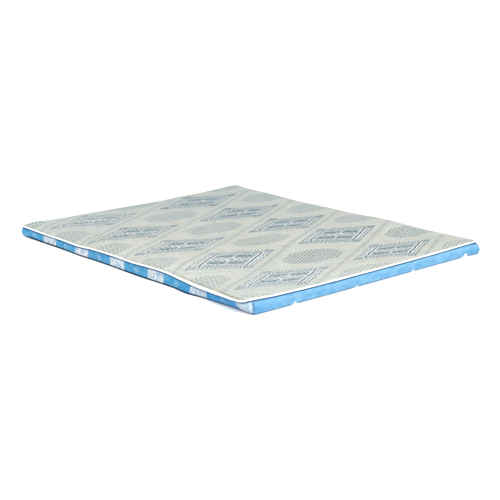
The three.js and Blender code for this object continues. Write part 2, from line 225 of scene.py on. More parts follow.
# The plain strip's sprigs along the cloth: the first, the distance to the next, and the lowest
SPRIG_X = 1.190
SPRIG_PITCH = 0.391
SPRIG_MIDDLE = 1.776

# Mesh steps, and the lines beside an edge of the top and up a wall
TOP_STEP = 9 * MM
WALL_STEP = 4 * MM
TAPE_STEP = 4 * MM
BODY_STEP = 12 * MM
EDGE_LINES = [0, 1.2, 2.5, 4, 6, 8.5, 11, 14, 17, 20, 24, 29, 34, 40]
WALL_LINES = [0.0, 0.02, 0.045, 0.08, 0.13, *np.linspace(0.19, 0.8, 11)]
WALL_LINES += [0.85, 0.89, 0.925, 0.955, 0.98, 1.0]

# The camera, fitted to the photograph of 500 x 500 pixels
PHOTO_SIZE = 500
CAMERA_PLACE = Vector((4.6354, -3.9755, 1.5874))
CAMERA_AZIMUTH = math.radians(49.036)
CAMERA_ELEVATION = math.radians(14.843)
CAMERA_ROLL = math.radians(-0.485)
FOCAL_PIXELS = 1193.5
SENSOR_WIDTH = 36.0

# How much light falls on the top and on the sides that face the camera, the floor's faint glow that
# keeps it white up to the mattress, and the light of the sky
TOP_LIGHT = 1.32
SIDE_LIGHT = 1.48
FLOOR_GLOW = 0.2
SKY = 0.95

RNG = np.random.default_rng(1240)


# Shape of the top

def curve(table, along):
    """A smooth curve through a table of (place, height), in millimetres; along is in metres."""
    places, heights = np.transpose(table) * MM
    along = np.clip(along, places[0], places[-1])
    row = np.clip(np.searchsorted(places, along) - 1, 0, len(places) - 2)
    before = np.maximum(row - 1, 0)
    after = np.minimum(row + 2, len(places) - 1)
    span = places[row + 1] - places[row]
    share = (along - places[row]) / span
    slope_from = span * (heights[row + 1] - heights[before]) / (places[row + 1] - places[before])
    slope_to = span * (heights[after] - heights[row]) / (places[after] - places[row])
    square = share * share
    cube = square * share
    return (
        (2 * cube - 3 * square + 1) * heights[row]
        + (cube - 2 * square + share) * slope_from
        + (3 * square - 2 * cube) * heights[row + 1]
        + (cube - square) * slope_to
    )


def smoothstep(value, low, high):
    share = np.clip((value - low) / (high - low), 0, 1)
    return share * share * (3 - 2 * share)


def mix(a, b, share):
    return a + (b - a) * share


def seam_height(x, y):
    """The seam heights of the four sides, blended over the whole top."""
    across_x = np.clip((x + HALF_X) / LENGTH, 0, 1)
    across_y = np.clip((y + HALF_Y) / WIDTH, 0, 1)
    sides = mix(curve(FRONT_SEAM, x), curve(BACK_SEAM, x), across_y)
    ends = mix(curve(LEFT_SEAM, y), curve(RIGHT_SEAM, y), across_x)
    front, back = [mix(seam[0][1] * MM, seam[-1][1] * MM, across_x) for seam in (FRONT_SEAM, BACK_SEAM)]
    return sides + ends - mix(front, back, across_y)


def edge_distance(x, y):
    over_x = np.abs(x) - INNER_X
    over_y = np.abs(y) - INNER_Y
    straight = RADIUS - np.maximum(over_x, over_y)
    rounded = np.maximum(0, RADIUS - np.hypot(over_x, over_y))
    return np.where((over_x > 0) & (over_y > 0), rounded, straight)


def top_height(x, y):
    shoulder = 1 - np.exp(-edge_distance(x, y) / CROWN_REACH)
    height = seam_height(x, y) - RIM_DROP + (CROWN_HEIGHT + RIM_DROP) * shoulder
    for swell_x, swell_y, rise, spread_x, spread_y in SWELLS:
        away = ((x / MM - swell_x) / spread_x) ** 2 + ((y / MM - swell_y) / spread_y) ** 2
        height = height + rise * MM * shoulder * np.exp(-away / 2)
    return height


def corner_shape(x, y):
    """What the corners add near a point of the outline: how much fuller, and how much drawn in."""
    fuller, tuck = np.zeros_like(x), np.zeros_like(x)
    for corner_x, corner_y, corner_fuller, corner_tuck in CORNER_SHAPES:
        near = np.exp(-((np.hypot(x - corner_x, y - corner_y) / CORNER_REACH) ** 2))
        fuller += corner_fuller * near
        tuck += corner_tuck * near
    return fuller, tuck


def on_front(y):
    """1 on the front side, and less round its corners."""
    return smoothstep(-y, INNER_Y, HALF_Y)


def foot_swell(x, y):
    """How far the front side's foot swells out from its usual line, or draws in behind it."""
    swell = np.zeros_like(x)
    for place, spread, out in FOOT_SWELLS:
        swell += out * MM * np.exp(-(((x / MM - place) / spread) ** 2))
    return swell * on_front(y)


def tape_growth(x, y):
    """How much taller or lower than usual the tape is at a point of the outline."""
    place, spread, share = TAPE_FULLNESS
    reach, gain = TAPE_CORNER
    away = np.hypot(x - HALF_X, y + HALF_Y)
    opened = share * np.exp(-(((x - place) / spread) ** 2)) * (y < 0)
    return TAPE_SLIMNESS + opened + gain * np.exp(-((away / reach) ** 2))


def skew(x, y):
    away = np.hypot(x - HALF_X, y + HALF_Y)
    shift_x = SKEW_X[0] * (1 - smoothstep(away, 0, SKEW_X[1]))
    shift_y = SKEW_Y[0] * (1 - smoothstep(away, 0, SKEW_Y[1]))
    for corner_x, corner_y, pull_x, pull_y in CORNER_PULLS:
        pulled = 1 - smoothstep(np.hypot(x - corner_x, y - corner_y), 0, PULL_REACH)
        shift_x = shift_x + pull_x * pulled
        shift_y = shift_y + pull_y * pulled
    return shift_x, shift_y


# Small relief of the cloth

def wandering(length, step):
    """An uneven smooth line of values between about -1 and 1, one for each step."""
    count = int(length / step) + 8
    values = RNG.uniform(-1, 1, count)
    return np.convolve(values, [0.22, 0.56, 0.22], mode="same") * 1.5


def sample(values, step, along):
    """The value of a wandering line at each place, eased between its points."""
    place = np.mod(along / step, len(values) - 1)
    low = np.floor(place).astype(int)
    return mix(values[low], values[low + 1], smoothstep(place - low, 0, 1))


SIDE_PUCKERS = [wandering(LENGTH + WIDTH, PUCKER_STEP) for _ in range(4)]


UNEVEN_FIELDS = [
    (RNG.uniform(-1, 1, (int(LENGTH / step) + 6, int(WIDTH / step) + 6)), step, share)
    for step, share in UNEVEN
]


def field_value(values, step, x, y):
    column = (x + HALF_X) / step + 1.5
    row = (y + HALF_Y) / step + 1.5
    i = np.clip(np.floor(column).astype(int), 0, values.shape[0] - 2)
    j = np.clip(np.floor(row).astype(int), 0, values.shape[1] - 2)
    u = smoothstep(column - i, 0, 1)
    v = smoothstep(row - j, 0, 1)
    return mix(mix(values[i, j], values[i + 1, j], u), mix(values[i, j + 1], values[i + 1, j + 1], u), v)


def crease_relief(x, y):
    relief = np.zeros_like(x)
    for from_x, from_y, to_x, to_y, rise, half_width in CREASES:
        run_x, run_y = to_x - from_x, to_y - from_y
        run = math.hypot(run_x, run_y)
        along = ((x - from_x) * run_x + (y - from_y) * run_y) / run
        across = ((x - from_x) * run_y - (y - from_y) * run_x) / run
        across = across - CREASE_ARCH * run * np.sin(along / run * math.pi)
        ends = smoothstep(along / run, *CREASE_START) * (1 - smoothstep(along / run, *CREASE_END))
        relief += rise * ends * np.exp(-((across / half_width) ** 2) / 2)
    return relief


def ticking_relief(x, y):
    """What the ticking adds to the shape of the top: puckers at the seam, creases and unevenness."""
    from_edge = edge_distance(x, y)
    sides = [(y + HALF_Y, x), (HALF_X - x, y), (HALF_Y - y, x), (x + HALF_X, y)]
    relief = crease_relief(x, y) * smoothstep(from_edge, 0, CREASE_FROM_EDGE)
    for puckers, (distance, along) in zip(SIDE_PUCKERS, sides):
        fade = np.exp(-distance / PUCKER_REACH) * smoothstep(distance, 0, PUCKER_FROM_SEAM)
        relief += PUCKER_RISE * fade * sample(puckers, PUCKER_STEP, along + 2 * LENGTH)
    inside = smoothstep(from_edge, *UNEVEN_FROM_EDGE)
    for values, step, share in UNEVEN_FIELDS:
        relief += UNEVEN_RISE * inside * share * field_value(values, step, x, y)
    return relief


# The outline. A way along it is a distance anticlockwise from the start of the front's straight run

STRAIGHT_X = LENGTH - 2 * RADIUS
STRAIGHT_Y = WIDTH - 2 * RADIUS
QUARTER = math.pi / 2 * RADIUS
CORNERS = [
    STRAIGHT_X,
    STRAIGHT_X + QUARTER + STRAIGHT_Y,
    2 * STRAIGHT_X + 2 * QUARTER + STRAIGHT_Y,
    2 * STRAIGHT_X + 3 * QUARTER + 2 * STRAIGHT_Y,
]
PERIMETER = 2 * STRAIGHT_X + 2 * STRAIGHT_Y + 4 * QUARTER
FRONT_RIGHT, BACK_RIGHT, BACK_LEFT, FRONT_LEFT = [start + QUARTER / 2 for start in CORNERS]


def outline(way):
    """Place and outward direction at each distance along the outline."""
    way = np.mod(way, PERIMETER)
    x, y = np.empty_like(way), np.empty_like(way)
    out_x, out_y = np.empty_like(way), np.empty_like(way)
    centres = [(INNER_X, -INNER_Y), (INNER_X, INNER_Y), (-INNER_X, INNER_Y), (-INNER_X, -INNER_Y)]
    start = 0.0
    for side, (centre_x, centre_y) in enumerate(centres):
        run = STRAIGHT_X if side % 2 == 0 else STRAIGHT_Y
        facing = -math.pi / 2 + side * math.pi / 2
        here = (way >= start) & (way < start + run + QUARTER)
        beyond = np.clip(way[here] - start - run, 0, QUARTER)
        before = np.clip(start + run - way[here], 0, run)
        turn = facing + beyond / RADIUS
        out_x[here], out_y[here] = np.cos(turn), np.sin(turn)
        x[here] = centre_x + RADIUS * np.cos(turn) + before * math.sin(facing)
        y[here] = centre_y + RADIUS * np.sin(turn) - before * math.cos(facing)
        start += run + QUARTER
    return x, y, out_x, out_y


def border_top(x, y):
    return seam_height(x, y) - TAPE_HALF_HEIGHT * tape_growth(x, y) - SEWN_GAP


WALL_PUCKERS = wandering(PERIMETER, PUCKER_STEP)
WALL_RIPPLES = wandering(PERIMETER, WALL_RIPPLE_STEP)


def wall_out(way, height, top):
    """How far the border's face stands out from the outline, at each height."""
    foot_heights, foot_insets = np.transpose(FOOT) * MM
    share = np.clip(height / top, 0, 1)
    x, y, _, _ = outline(way)
    square = on_front(y) * (1 - smoothstep(x, *SQUARE_FOOT_END))
    inset = np.interp(height, foot_heights, foot_insets) * (1 - SQUARE_FOOT * square)
    fuller, tuck = corner_shape(x, y)
    inset = inset + tuck * np.maximum(0, 1 - height / TUCK_HEIGHT) ** 2
    inset = inset - foot_swell(x, y) * (1 - smoothstep(height, 0, FOOT_SWELL_HEIGHT))
    waves = sum(far * np.sin(2 * math.pi * way / wave + phase) for far, wave, phase in BULGE_WAVES)
    rounded = np.sin(math.pi * share)
    groove = GROOVE_DEPTH * np.exp(-((top - height) / GROOVE_HEIGHT) ** 2)
    near_top = np.exp(-(top - height) / PUCKERS_BELOW_TOP)
    near_foot = np.exp(-height / PUCKERS_ABOVE_FOOT)
    puckers = sample(WALL_PUCKERS, PUCKER_STEP, way + WALL_PUCKER_LEAN * height)
    ripples = sample(WALL_RIPPLES, WALL_RIPPLE_STEP, way + WALL_RIPPLE_LEAN * height)
    small = WALL_PUCKER * puckers * (near_top + FOOT_PUCKER_SHARE * near_foot)
    small = small + WALL_RIPPLE * ripples * rounded
    bulge = (BULGE + waves) * rounded + fuller * np.maximum(rounded, 0) ** CORNER_ROUNDNESS
    return bulge - inset - groove + small * smoothstep(height, 0, STILL_FOOT)


def wall_points(way, height, out):
    """Points of the wall: leaning with the skewed cover, up to full skew at the border's top."""
    x, y, out_x, out_y = outline(way)
    lean = np.clip(height / border_top(x, y), 0, 1)
    skew_x, skew_y = skew(x, y)
    return np.stack([x + out_x * out + skew_x * lean, y + out_y * out + skew_y * lean, height], axis=-1)


# Meshes

def make_object(name, points, faces, cloth=None, smooth=True, marks=None):
    """A mesh; cloth is each point's place on the flat cloth, marks are named values of the points."""
    mesh = bpy.data.meshes.new(name)
    mesh.from_pydata(np.asarray(points).tolist(), [], faces)
    if cloth is not None:
        layer = mesh.uv_layers.new(name="cloth")
        corners = np.empty(len(mesh.loops), dtype=np.int64)
        mesh.loops.foreach_get("vertex_index", corners)
        layer.data.foreach_set("uv", np.asarray(cloth)[corners].astype(np.float32).ravel())
    for mark, values in (marks or {}).items():
        mesh.attributes.new(mark, "FLOAT", "POINT").data.foreach_set("value", values.astype(np.float32))
    mesh.polygons.foreach_set("use_smooth", np.full(len(mesh.polygons), smooth))
    mesh.validate()
    mesh.update()
    piece = bpy.data.objects.new(name, mesh)
    bpy.context.scene.collection.objects.link(piece)
    return piece


def quads(index):
    """Faces of a grid of point numbers."""
    return np.stack([index[:-1, :-1], index[1:, :-1], index[1:, 1:], index[:-1, 1:]], axis=-1)


def ring_faces(rings, around):
    """Faces between closed rings of points, ring by ring."""
    index = np.arange(rings * around).reshape(rings, around)
    index = np.pad(index, ((0, 0), (0, 1)), mode="wrap")
    return quads(index.T).transpose(1, 0, 2).reshape(-1, 4)


def shell(name, face, back, cloth, marks=None):
    """A closed sheet between a grid of face points and a grid of back points."""
    columns, rows = face.shape[:2]
    count = columns * rows
    index = np.arange(count).reshape(columns, rows)
    points = np.concatenate([face.reshape(-1, 3), back.reshape(-1, 3)])
    rim = np.concatenate([index[:, 0], index[-1, 1:], index[-2::-1, -1], index[0, -2:0:-1]])
    following = np.roll(rim, -1)
    band = np.stack([rim + count, following + count, following, rim], axis=1)
    sides = np.concatenate([quads(index), quads(index + count)[..., ::-1]]).reshape(-1, 4)
    flat = cloth.reshape(-1, 2)
    marks = {mark: np.tile(values.ravel(), 2) for mark, values in (marks or {}).items()}
    faces = np.concatenate([sides, band]).tolist()
    return make_object(name, points, faces, np.concatenate([flat, flat]), marks=marks)


def even_lines(half, step):
    """Grid lines from side to side: close at the edges, then even."""
    edge = np.array(EDGE_LINES) * MM
    inner = np.linspace(-half + edge[-1], half - edge[-1], int(2 * half / step))[1:-1]
    return np.concatenate([-half + edge, inner, half - edge[::-1]])


def top_grid():
    """The grid over the top, with its square corners drawn in to round ones."""
    lines_x, lines_y = even_lines(HALF_X, TOP_STEP), even_lines(HALF_Y, TOP_STEP)
    x, y = np.meshgrid(lines_x, lines_y, indexing="ij")
    over_x = (np.abs(x) - INNER_X) / RADIUS
    over_y = (np.abs(y) - INNER_Y) / RADIUS
    corner = (over_x > 0) & (over_y > 0)
    round_x = over_x * np.sqrt(np.maximum(0, 1 - over_y**2 / 2))
    round_y = over_y * np.sqrt(np.maximum(0, 1 - over_x**2 / 2))
    turned_x = np.sign(x) * (INNER_X + RADIUS * round_x)
    turned_y = np.sign(y) * (INNER_Y + RADIUS * round_y)
    return np.where(corner, turned_x, x), np.where(corner, turned_y, y)


def top_points(x, y, below):
    """Points of the top, drawn in behind the tape at the rim, at a distance below the ticking's face."""
    over_x = np.maximum(0, np.abs(x) - INNER_X)
    over_y = np.maximum(0, np.abs(y) - INNER_Y)
    size = np.maximum(np.hypot(over_x, over_y), 1e-9)
    from_edge = edge_distance(x, y)
    inset = (CLOTH + SEWN_GAP) * np.exp(-from_edge / RIM_REACH)
    skew_x, skew_y = skew(x, y)
    height = top_height(x, y) + ticking_relief(x, y) - below
    place_x = x - np.sign(x) * over_x / size * inset + skew_x
    place_y = y - np.sign(y) * over_y / size * inset + skew_y
    return np.stack([place_x, place_y, height], axis=-1)


def ticking_piece():
    x, y = top_grid()
    return shell("ticking", top_points(x, y, 0), top_points(x, y, CLOTH), np.stack([x, y], axis=-1))


def eased_along(along):
    """Place along the front strip's cloth: eased in the middle and drawn up towards its right end."""
    far, place, spread = PRINT_EASED
    eased = far * np.exp(-(((along - place) / spread) ** 4))
    return along + eased - PRINT_DRAWN_UP * smoothstep(along, *PRINT_DRAWN_FROM)


def strip_piece(name, start, end, start_slant=0.0, end_slant=0.0, ease=None):
    """A border strip from one corner's join to the next; a slant moves the join along at the top."""
    columns = int((end - start) / WALL_STEP)
    c, share = np.meshgrid(np.linspace(0, 1, columns), WALL_LINES, indexing="ij")
    first = start + SEWN_GAP / 2 + start_slant * share
    last = end - SEWN_GAP / 2 + end_slant * share
    way = first + c * (last - first)
    x, y, _, _ = outline(way)
    top = border_top(x, y)
    height = mix(FOOT[0][0] * MM, top, share)
    from_join = np.minimum(c, 1 - c) * (end - start)
    out = wall_out(way, height, top) - JOIN_TUCK * np.exp(-from_join / JOIN_TUCK_REACH)
    face = wall_points(way, height, out)
    back = wall_points(way, height, out - CLOTH)
    along = way - STRAIGHT_X / 2
    if ease:
        along = ease(along)
    marks = {"drop": top - height, "from_join": from_join}
    return shell(name, face, back, np.stack([along, height], axis=-1), marks)


def tape_piece():
    """The tape: one rounded section carried round the seam, a little uneven in height and thickness."""
    count = int(PERIMETER / TAPE_STEP)
    section = np.array(TAPE_SECTION) * MM
    rows = len(section)
    i, j = np.meshgrid(np.arange(count), np.arange(rows), indexing="ij")
    way = i * (PERIMETER / count)
    x, y, _, _ = outline(way)
    out, up = section[j, 0], section[j, 1]
    ease = sample(WALL_PUCKERS, TAPE_PUCKER_STEP, way + TAPE_UNEVEN_START)
    ripple = sample(WALL_RIPPLES, TAPE_RIPPLE_STEP, way)
    outer = np.clip(out / TAPE_OUTERMOST, 0, 1)
    up = up * tape_growth(x, y) * (1 + TAPE_UNEVEN_SHARE * ease) + TAPE_UNEVEN * ripple * outer
    out = out + outer * TAPE_UNEVEN * ease
    points = wall_points(way, seam_height(x, y) + up, out).reshape(-1, 3)
    faces = quads(np.pad(i * rows + j, ((0, 1), (0, 1)), mode="wrap"))
    girth = np.cumsum(np.concatenate([[0], np.linalg.norm(np.diff(section, axis=0), axis=1)]))
    cloth = np.stack([way, girth[j]], axis=-1).reshape(-1, 2)
    return make_object("binding_tape", points, faces.reshape(-1, 4).tolist(), cloth)


def stitch_piece():
    """A row of lock stitches: short raised threads sunk at both ends, all round the tape."""
    count = int(PERIMETER / STITCH_PITCH)
    start = np.arange(count) * (PERIMETER / count)
    angle = np.arange(STITCH_SIDES) * 2 * math.pi / STITCH_SIDES
    s, t, a = np.meshgrid(start, np.linspace(0, 1, STITCH_STEPS), angle, indexing="ij")
    way = s + t * STITCH_SHARE * STITCH_PITCH
    rise = np.sin(math.pi * t)
    girth = STITCH_THICK * (STITCH_END_SHARE + (1 - STITCH_END_SHARE) * rise)
    x, y, _, _ = outline(way)
    height = seam_height(x, y) + STITCH_UP + girth * np.sin(a)
    out = STITCH_OUT + STITCH_THICK * rise + girth * np.cos(a)
    points = wall_points(way, height, out).reshape(-1, 3)
    end = np.arange(STITCH_SIDES)
    ends = np.stack([end[::-1], end + (STITCH_STEPS - 1) * STITCH_SIDES])
    firsts = (np.arange(count) * STITCH_SIDES * STITCH_STEPS)[:, None, None]
    faces = (ring_faces(STITCH_STEPS, STITCH_SIDES) + firsts).reshape(-1, 4).tolist()
    faces += (ends + firsts).reshape(-1, STITCH_SIDES).tolist()
    return make_object("tape_stitches", points, faces)


def body_piece():
    """The filled body: the base cloth underneath, the sides behind the border and the crowned top."""
    columns = int(PERIMETER / BODY_STEP)
    way = np.arange(columns) * (PERIMETER / columns)
    x, y, out_x, out_y = outline(way)
    top = border_top(x, y)
    drawn_in = BODY_TUCK * corner_shape(x, y)[1] - np.minimum(foot_swell(x, y), 0)
    loops = []
    for height, inset in BODY_FOOT:
        loops.append(wall_points(way, np.full(columns, height * MM), -inset * MM - drawn_in))
    for share in BODY_SIDE:
        height = share * top
        out = wall_out(way, height, top) - CLOTH - SEWN_GAP
        loops.append(wall_points(way, height, np.minimum(out, -CLOTH - SEWN_GAP)))
    under_ticking = CLOTH + SEWN_GAP + FILLING_EASE
    for ring in BODY_RINGS:
        inset = (CLOTH + SEWN_GAP) + ring * MM
        draw = np.minimum(1, inset / HALF_Y)
        near_rim = ring * MM < RADIUS / 2
        flat_x = np.where(near_rim, x - out_x * inset, x * (1 - draw))
        flat_y = np.where(near_rim, y - out_y * inset, y * (1 - draw))
        skew_x, skew_y = skew(flat_x, flat_y)
        height = top_height(flat_x, flat_y) + ticking_relief(flat_x, flat_y) - under_ticking
        loops.append(np.stack([flat_x + skew_x, flat_y + skew_y, height], axis=-1))
    middle_height = top_height(np.zeros(1), np.zeros(1))[0] - under_ticking
    points = np.concatenate([*loops, [[0, 0, 0], [0, 0, middle_height]]])
    middle_low, middle_high = len(points) - 2, len(points) - 1
    faces = ring_faces(len(loops), columns).tolist()
    last = (len(loops) - 1) * columns
    for column in range(columns):
        following = (column + 1) % columns
        faces += [[following, column, middle_low], [last + column, last + following, middle_high]]
    return make_object("mattress_body", points, faces, points[:, :2])


# Materials

class Graph:
    """Short names for the shader nodes of one material."""

    def __init__(self, name, light=1.0):
        self.light = light
        self.material = bpy.data.materials.new(name)
        self.material.use_nodes = True
        self.tree = self.material.node_tree
        self.shader = self.tree.nodes["Principled BSDF"]

    def node(self, kind, inputs=None, **settings):
        made = self.tree.nodes.new(kind)
        for name, value in settings.items():
            setattr(made, name, value)
        self.feed(made, inputs or {})
        return made

    def feed(self, node, inputs):
        """Links or plain values for a node's inputs, by name or number."""
        for name, value in inputs.items():
            if isinstance(value, bpy.types.NodeSocket):
                self.tree.links.new(value, node.inputs[name])
            else:
                node.inputs[name].default_value = value

    def math(self, operation, *values):
        return self.node("ShaderNodeMath", dict(enumerate(values)), operation=operation).outputs[0]

    add = partialmethod(math, "ADD")
    sub = partialmethod(math, "SUBTRACT")
    mul = partialmethod(math, "MULTIPLY")
    abs = partialmethod(math, "ABSOLUTE")
    rest = partialmethod(math, "SUBTRACT", 1.0)
    least = partialmethod(math, "MINIMUM")

    def most(self, a, *others):
        for b in others:
            a = self.math("MAXIMUM", a, b)
        return a

    def fade(self, value, low, high, to_low=0.0, to_high=1.0):
        """A smooth step from to_low at low to to_high at high."""
        inputs = {"Value": value, "From Min": low, "From Max": high, "To Min": to_low, "To Max": to_high}
        made = self.node("ShaderNodeMapRange", inputs, interpolation_type="SMOOTHSTEP")
        return made.outputs["Result"]

    def inside(self, value, half, soft):
        """1 where the value's size is under half, with a soft edge."""
        return self.fade(self.abs(value), half - soft, half + soft, 1.0, 0.0)

    def line(self, value, at, half, soft):
        """1 where the value's size is near at."""
        return self.inside(self.sub(self.abs(value), at), half, soft)

    def rgb(self, *screen):
        """The colour that looks so on a screen, 0 to 255, on a face that gets the material's light."""
        values = [value / 255 for value in screen]
        values = [v / 12.92 if v <= 0.04045 else ((v + 0.055) / 1.055) ** 2.4 for v in values]
        return (*[value / self.light for value in values], 1.0)

    def mix_color(self, share, a, b):
        """Two colours mixed, each another node's or as it looks on a screen, 0 to 255."""
        a, b = [self.rgb(*color) if isinstance(color, tuple) else color for color in (a, b)]
        return self.node("ShaderNodeMix", {"Factor": share, 6: a, 7: b}, data_type="RGBA").outputs[2]

    def tinted(self, color, rows):
        """The colour under tints, each as strong as a value's fade."""
        for value, *fade, tint in rows:
            color = self.mix_color(self.fade(value, *fade), color, tint)
        return color

    def noise(self, place, scale, detail=2.0, rough=0.5):
        inputs = {"Vector": place, "Scale": scale, "Detail": detail, "Roughness": rough}
        return self.node("ShaderNodeTexNoise", inputs).outputs["Fac"]

    def wobble(self, place, scale, far, *detail):
        """A small move to and fro, half of far at most."""
        return self.mul(self.sub(self.noise(place, scale, *detail), 0.5), far)

    def slubs(self, x, y, long, short):
        """Uneven thick and thin threads that run along y, as a value about 0.5."""
        place = {"X": self.mul(x, 1 / short), "Y": self.mul(y, 1 / long)}
        return self.noise(self.node("ShaderNodeCombineXYZ", place).outputs[0], 1.0, 2.0, 0.6)

    def cloth(self):
        """Place on the cloth, in metres: along it and across it."""
        uv = self.node("ShaderNodeUVMap", uv_map="cloth").outputs["UV"]
        split = self.node("ShaderNodeSeparateXYZ", {0: uv})
        return uv, split.outputs["X"], split.outputs["Y"]

    def place(self):
        return self.node("ShaderNodeTexCoord").outputs["Object"]

    def mark(self, name):
        """A named value of the mesh's points."""
        return self.node("ShaderNodeAttribute", attribute_name=name).outputs["Fac"]

    def stripes(self, value, pitch, half):
        """1 in the middle of each step of the value."""
        step = self.math("FRACT", self.mul(value, 1 / pitch))
        return self.inside(self.sub(step, 0.5), half, STRIPE_SOFT)

    def from_nearest(self, value, start, pitch):
        """Distance to the nearest of places a pitch apart."""
        phase = self.mul(self.sub(value, start), 1 / pitch)
        return self.mul(self.sub(phase, self.math("ROUND", phase)), pitch)

    def weave(self, x, y, pitch):
        """Height of a plain weave: warp and weft threads that pass over each other."""
        waves = [self.math("SINE", self.mul(value, 2 * math.pi / pitch)) for value in (x, y)]
        return self.mul(*[self.abs(wave) for wave in waves])

    def bump(self, height, distance, strength, under=None):
        inputs = {"Distance": distance, "Strength": strength, "Height": height}
        if under is not None:
            inputs["Normal"] = under
        return self.node("ShaderNodeBump", inputs).outputs["Normal"]

    def finish(self, color, normal, roughness, sheen, specular=0.25):
        self.feed(self.shader, {
            "Base Color": color, "Normal": normal, "Roughness": roughness,
            "Sheen Weight": sheen, "Sheen Roughness": 0.45, "Specular IOR Level": specular,
        })
        return self.material


# Rules of the lattice, in shares of a tile: along s or d, place, half width, strength, and for some
# where they end and how softly
RULE_SOFT = 0.004
STRIPE_SOFT = 0.07
TICK_PITCH = 0.0437
PALE_RULES = [
    ("d", 0.253, 0.012, 1.0, 0.29, 0.01),
    ("d", 0.299, 0.010, 1.0, 0.29, 0.01),
    ("s", 0.255, 0.008, 0.45, 0.25, 0.01),
]
DARK_RULES = [
    ("d", 0.275, 0.014, 1.0, 0.287, 0.004),
    ("s", 0.275, 0.011, 0.5, 0.287, 0.004),
    ("d", 0.38, 0.007, 0.35),
]
TILE_EDGES = [
    ("s", 0.491, 0.0045, 0.24), ("s", 0.458, 0.004, 0.1),
    ("d", 0.491, 0.006, 0.42), ("d", 0.454, 0.006, 0.22),
]


def rules(g, ink, s, d, rows):
    """The ink with the rows' rules over it."""
    for along, at, half, strength, *end in rows:
        value, across = (s, d) if along == "s" else (d, s)
        rule = g.mul(g.line(value, at, half, RULE_SOFT), strength)
        if end:
            rule = g.mul(rule, g.inside(across, *end))
        ink = g.most(ink, rule)
    return ink


def lattice_place(g, uv, x, y):
    """Place in a tile of the lattice, -0.5 to 0.5 two ways across it, and 1 where it is a lozenge's."""
    pulled_x = g.add(x, g.wobble(uv, 23.0, 0.014))
    pulled_y = g.add(y, g.wobble(uv, 17.0, 0.020))
    near_tips = g.mul(g.fade(y, -0.12, -0.02), g.fade(y, 0.06, 0.28, 0.8, 0.0))
    near_tips = g.add(g.fade(y, -0.66, -0.42, 1.0, 0.0), near_tips)
    for tip_x, pull in TICKING_PULLS:
        pull = g.fade(g.abs(g.sub(x, tip_x)), 0.0, 0.13, pull, 0.0)
        pulled_y = g.add(pulled_y, g.mul(pull, near_tips))
    step_x, step_y = g.math("SNAP", pulled_x, THREAD_STEP), g.math("SNAP", pulled_y, THREAD_STEP)
    u = g.mul(g.sub(step_y, DIAMOND_Y), 1 / PITCH_Y)
    v = g.mul(g.sub(DIAMOND_X, step_x), 1 / PITCH_X)
    s, d = g.add(u, v), g.sub(u, v)
    tile_s, tile_d = g.math("ROUND", s), g.math("ROUND", d)
    odd = g.mul(g.math("FRACT", g.mul(g.add(tile_s, tile_d), 0.5)), 2.0)
    return g.sub(s, tile_s), g.sub(d, tile_d), g.math("GREATER_THAN", odd, 0.5)


def lozenge_ink(g, x, from_front, s, d):
    """Rows of short dark dashes on a light ground, which show more plainly to the right and in front."""
    tall, wide = g.mul(g.add(s, d), 0.5), g.mul(g.sub(s, d), 0.5)
    tile = g.inside(g.most(g.abs(s), g.abs(d)), 0.350, 0.016)
    lozenge = g.mul(tile, g.inside(g.most(g.abs(tall), g.abs(wide)), 0.241, 0.016))
    unbroken = g.fade(from_front, 0.12, 0.42, 0.0, 0.6)
    dashes = g.mul(g.stripes(d, 0.05, 0.23), g.most(g.stripes(s, 0.084, 0.31), unbroken))
    plainly = g.most(g.fade(x, 0.15, 0.55), g.fade(from_front, 0.1, 0.4, 0.8, 0.0))
    ground = g.sub(0.17, g.mul(plainly, 0.13))
    ink = g.add(ground, g.mul(dashes, g.add(0.16, g.mul(plainly, 0.44))))
    return g.mul(g.mul(ink, g.fade(x, 0.68, 0.9, 1.0, 0.6)), lozenge)


